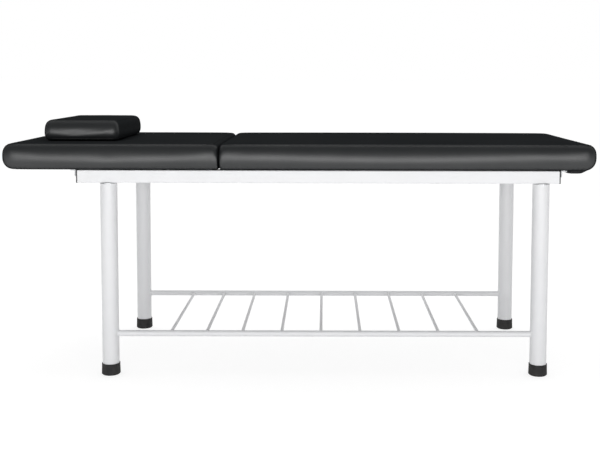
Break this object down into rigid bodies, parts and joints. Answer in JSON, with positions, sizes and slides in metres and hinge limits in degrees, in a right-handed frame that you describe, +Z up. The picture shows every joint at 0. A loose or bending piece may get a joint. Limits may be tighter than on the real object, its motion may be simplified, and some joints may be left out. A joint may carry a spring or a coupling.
{
  "type": "massage table",
  "caption": "Padded massage table on four straight legs, with a head section that lifts on a hinge, a loose pillow and a barred storage rack between the legs.",
  "frame": {"origin": "on the floor, under the middle of the bed's length and width", "axes": "+X from the head end to the foot end, +Y across the bed away from the front, +Z up"},
  "size_m": [1.85, 0.65, 0.8076],
  "materials": {
    "white_paint": "satin",
    "black_vinyl": "satin",
    "black_rubber": "matte",
    "black_plastic": "satin",
    "zinc_steel": "satin",
    "plywood": "matte",
    "foam": "matte",
    "dust_cloth": "matte"
  },
  "bodies": {
    "frame": {"side_rail_front": "white_paint", "side_rail_rear": "white_paint", "head_cross_rail": "white_paint", "hinge_cross_rail": "white_paint", "middle_cross_rail": "white_paint", "foot_cross_rail": "white_paint", "leg_stubs": "white_paint", "rack_rail_front": "white_paint", "rack_rail_rear": "white_paint", "prop_rack_front": "white_paint", "prop_rack_rear": "white_paint", "head_front_leg": "white_paint", "head_front_rubber_foot": "black_rubber", "head_rear_leg": "white_paint", "head_rear_rubber_foot": "black_rubber", "foot_front_leg": "white_paint", "foot_front_rubber_foot": "black_rubber", "foot_rear_leg": "white_paint", "foot_rear_rubber_foot": "black_rubber", "rack_bar_1": "white_paint", "rack_bar_2": "white_paint", "rack_bar_3": "white_paint", "rack_bar_4": "white_paint", "rack_bar_5": "white_paint", "rack_bar_6": "white_paint", "rack_bar_7": "white_paint", "rack_bar_8": "white_paint", "rack_bar_9": "white_paint", "rail_end_plugs": "black_plastic", "leg_bolts": "zinc_steel", "hinge_base_front": "zinc_steel", "hinge_base_rear": "zinc_steel", "hinge_pin_front": "zinc_steel", "hinge_pin_rear": "zinc_steel", "foot_locating_tabs": "zinc_steel", "main_bolts": "zinc_steel", "main_board": "plywood", "main_foam": "foam", "main_cover": "black_vinyl", "main_dust_cover": "dust_cloth"},
    "head_section": {"head_board": "plywood", "head_foam": "foam", "head_cover": "black_vinyl", "head_dust_cover": "dust_cloth", "head_locating_tabs": "zinc_steel", "head_screws": "zinc_steel", "hinge_strap_front": "zinc_steel", "hinge_strap_rear": "zinc_steel", "prop_bracket_front": "zinc_steel", "prop_bracket_rear": "zinc_steel", "prop_pins": "zinc_steel"},
    "prop": {"prop_arm_front": "zinc_steel", "prop_arm_rear": "zinc_steel", "prop_rod": "zinc_steel"},
    "pillow": {"pillow_cover": "black_vinyl", "pillow_foam": "foam"}
  },
  "joints": [
    {"name": "head_lift", "type": "hinge", "parent": "frame", "child": "head_section", "pos_m": [-0.253, 0, 0.6445], "axis": [0, 1, 0], "range_deg": [0, 36], "deforming": ["head_cover", "main_cover"]},
    {"name": "prop_swing", "type": "hinge", "parent": "head_section", "child": "prop", "pos_m": [-0.458, 0, 0.6445], "axis": [0, -1, 0], "range_deg": [0, 72]},
    {"name": "pillow_lift", "type": "slide", "parent": "head_section", "child": "pillow", "axis": [0, 0, 1], "range_m": [0, 0.12]}
  ],
  "couplings": [
    {"joint": "prop_swing", "follows": "head_lift", "ratio": 2}
  ]
}
